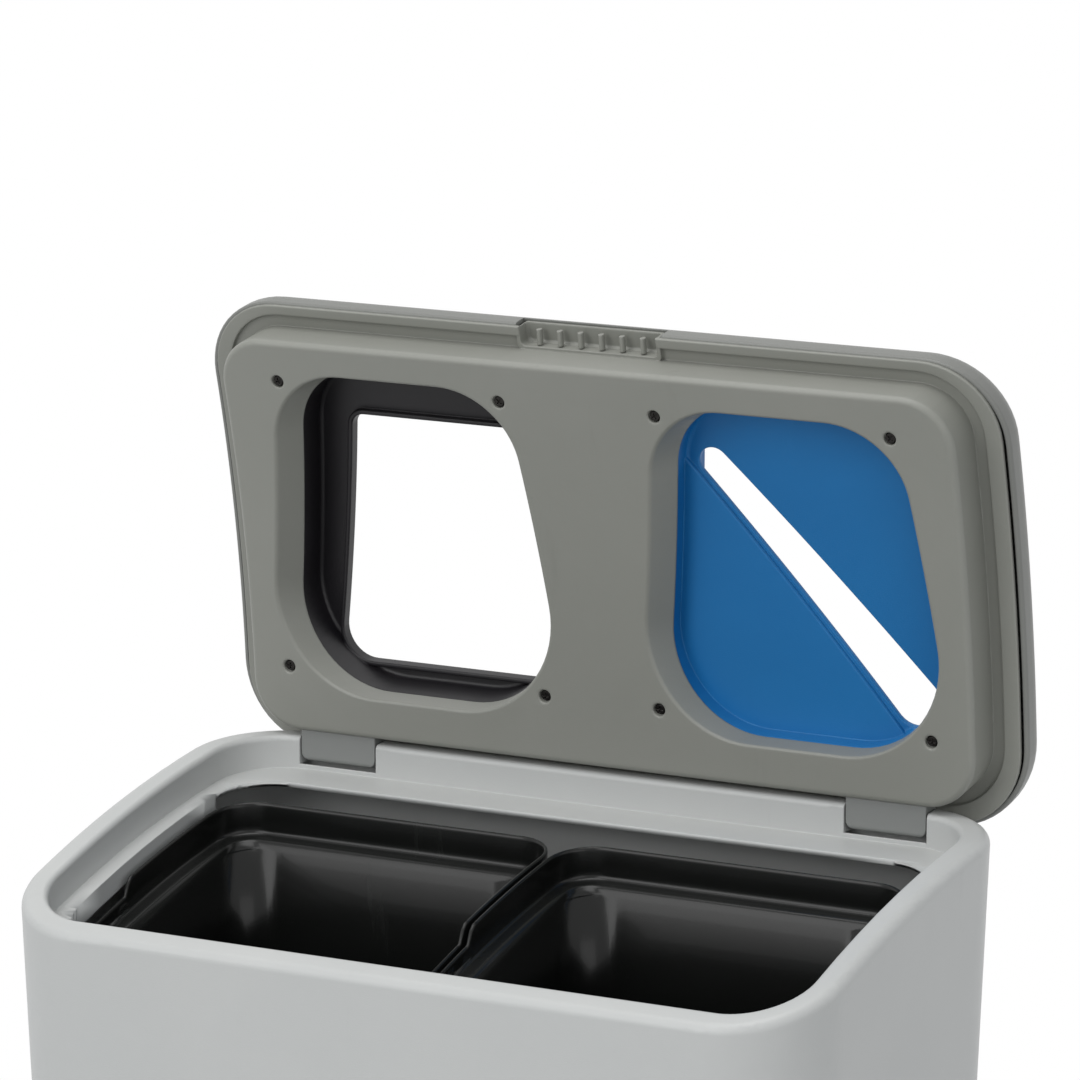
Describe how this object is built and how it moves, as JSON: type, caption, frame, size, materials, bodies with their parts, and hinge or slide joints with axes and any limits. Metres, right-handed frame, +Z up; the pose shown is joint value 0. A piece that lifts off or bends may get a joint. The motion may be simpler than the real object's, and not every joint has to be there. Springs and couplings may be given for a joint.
{
  "type": "double recycling bin",
  "caption": "Free-standing recycling bin with a tapered body, lift-out liners side by side and a hinged lid with a wide waste opening and a diagonal paper slot.",
  "frame": {"origin": "on the floor, under the middle of the object's width and of its whole depth with the lid open", "axes": "+X to the right seen from the front, -Y to the front, +Z up"},
  "size_m": [0.542, 0.331, 0.9963],
  "materials": {
    "body_plastic": "light grey moulded plastic, satin",
    "lid_plastic": "warm mid grey moulded plastic, satin",
    "hinge_plastic": "mid grey moulded plastic",
    "black_insert_plastic": "black moulded plastic, semi gloss",
    "blue_insert_plastic": "blue moulded plastic, semi gloss",
    "liner_plastic": "black glossy moulded plastic",
    "foot_rubber": "black rubber",
    "screw_steel": "dark plated steel",
    "steel": "ground steel"
  },
  "bodies": {
    "base": {"body_shell": "body_plastic", "foot_front_left": "foot_rubber", "foot_front_right": "foot_rubber", "foot_rear_left": "foot_rubber", "foot_rear_right": "foot_rubber", "foot_screws": "screw_steel", "hinge_pin_left": "steel", "hinge_pin_right": "steel"},
    "lid": {"lid_cover": "lid_plastic", "lid_inner_panel": "lid_plastic", "hinge_lug_left": "hinge_plastic", "hinge_lug_right": "hinge_plastic", "general_waste_insert": "black_insert_plastic", "paper_insert": "blue_insert_plastic", "insert_screws_left": "screw_steel", "insert_screws_right": "screw_steel", "lug_screws_left": "screw_steel", "lug_screws_right": "screw_steel"},
    "liner_left_body": {"liner_left": "liner_plastic"},
    "liner_right_body": {"liner_right": "liner_plastic"}
  },
  "joints": [
    {"name": "lid_hinge", "type": "hinge", "parent": "base", "child": "lid", "pos_m": [0, 0.122, 0.7065], "axis": [1, 0, 0], "range_deg": [0, 92.2]},
    {"name": "liner_left_lift", "type": "slide", "parent": "base", "child": "liner_left_body", "axis": [0, 0, 1], "range_m": [0, 0.745]},
    {"name": "liner_right_lift", "type": "slide", "parent": "base", "child": "liner_right_body", "axis": [0, 0, 1], "range_m": [0, 0.745]}
  ]
}
